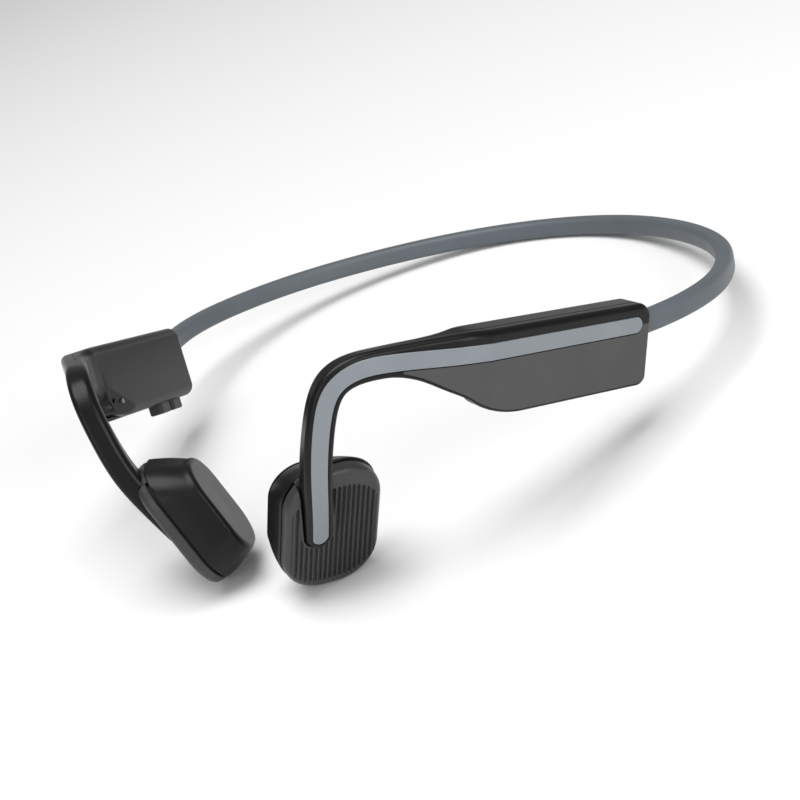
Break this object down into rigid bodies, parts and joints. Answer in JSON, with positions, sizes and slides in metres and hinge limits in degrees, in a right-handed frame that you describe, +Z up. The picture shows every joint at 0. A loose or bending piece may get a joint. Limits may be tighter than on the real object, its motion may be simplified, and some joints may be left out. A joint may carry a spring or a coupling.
{
  "type": "bone conduction headphones",
  "caption": "Open-ear headset: sprung neckband joining two housings with ear hooks, ribbed transducers and soft cheek pads.",
  "frame": {"origin": "centre of the bounding box at the level that the set stands on", "axes": "+X forward for the wearer, +Y to the wearer's left, +Z up; the set stands on the back of its neckband and on both transducers"},
  "size_m": [0.1414, 0.1286, 0.0439],
  "materials": {
    "band_silicone": "matte",
    "core_wire": "satin",
    "cable_loom": "matte",
    "shell_plastic": "matte",
    "hook_skin": "satin",
    "strip_plastic": "satin",
    "ribbed_cover": "matte",
    "pad_silicone": "matte",
    "inner_plastic": "matte",
    "spring_steel": "satin",
    "magnet_plating": "bright",
    "copper": "enamelled",
    "battery_foil": "satin",
    "foam": "open cell",
    "circuit_board": "solder mask",
    "switch_black": "moulded",
    "button_rubber": "matte",
    "window_clear": "clear"
  },
  "bodies": {
    "right_side": {"band_clamp_right": "inner_plastic", "ear_hook_right": "hook_skin", "ear_pad_right": "pad_silicone", "hook_core_right": "core_wire", "inner_shell_right": "shell_plastic", "main_board": "circuit_board", "microphone": "switch_black", "neckband_core": "core_wire", "neckband_loom": "cable_loom", "neckband_sleeve": "band_silicone", "outer_shell_right": "shell_plastic", "radio_shield_can": "spring_steel", "ribbed_cover_right": "ribbed_cover", "right_magnet": "magnet_plating", "right_spring_plate": "spring_steel", "right_voice_coil": "copper", "right_yoke": "spring_steel", "status_light": "switch_black", "status_window": "window_clear", "transducer_case_right": "inner_plastic", "trim_strip_right": "strip_plastic", "usb_c_socket": "spring_steel", "volume_down_switch": "switch_black", "volume_up_switch": "switch_black"},
    "left_side": {"outer_shell_left": "shell_plastic", "inner_shell_left": "shell_plastic", "ear_hook_left": "hook_skin", "hook_core_left": "core_wire", "trim_strip_left": "strip_plastic", "band_clamp_left": "inner_plastic", "transducer_case_left": "inner_plastic", "ear_pad_left": "pad_silicone", "left_spring_plate": "spring_steel", "left_voice_coil": "copper", "left_yoke": "spring_steel", "left_magnet": "magnet_plating", "battery_cell": "battery_foil", "battery_board": "circuit_board", "battery_foam": "foam", "function_board": "circuit_board", "function_switch": "switch_black"},
    "function_button": {"function_button": "ribbed_cover"},
    "volume_up": {"volume_up_button": "button_rubber"},
    "volume_down": {"volume_down_button": "button_rubber"},
    "usb_cover": {"usb_cover_flap": "button_rubber"}
  },
  "joints": [
    {"name": "neckband_flex", "type": "hinge", "parent": "right_side", "child": "left_side", "pos_m": [-0.0687, 0, 0.00216], "axis": [0, 0, 1], "range_deg": [-2, 24], "stiffness_Nm_per_rad": 0.9, "deforming": ["neckband_sleeve", "neckband_core", "neckband_loom"]},
    {"name": "function_button_press", "type": "slide", "parent": "left_side", "child": "function_button", "axis": [-0.592, -0.7526, 0.2884], "range_m": [0, 0.00035], "stiffness_N_per_m": 4000},
    {"name": "volume_up_press", "type": "slide", "parent": "right_side", "child": "volume_up", "axis": [-0.3489, -0.1937, 0.9169], "range_m": [0, 0.00035], "stiffness_N_per_m": 4000},
    {"name": "volume_down_press", "type": "slide", "parent": "right_side", "child": "volume_down", "axis": [-0.3489, -0.1937, 0.9169], "range_m": [0, 0.00035], "stiffness_N_per_m": 4000},
    {"name": "usb_cover_hinge", "type": "hinge", "parent": "right_side", "child": "usb_cover", "pos_m": [0.03493, -0.04703, 0.01966], "axis": [-0.35, 0.9346, 0.0642], "range_deg": [0, 95]}
  ]
}
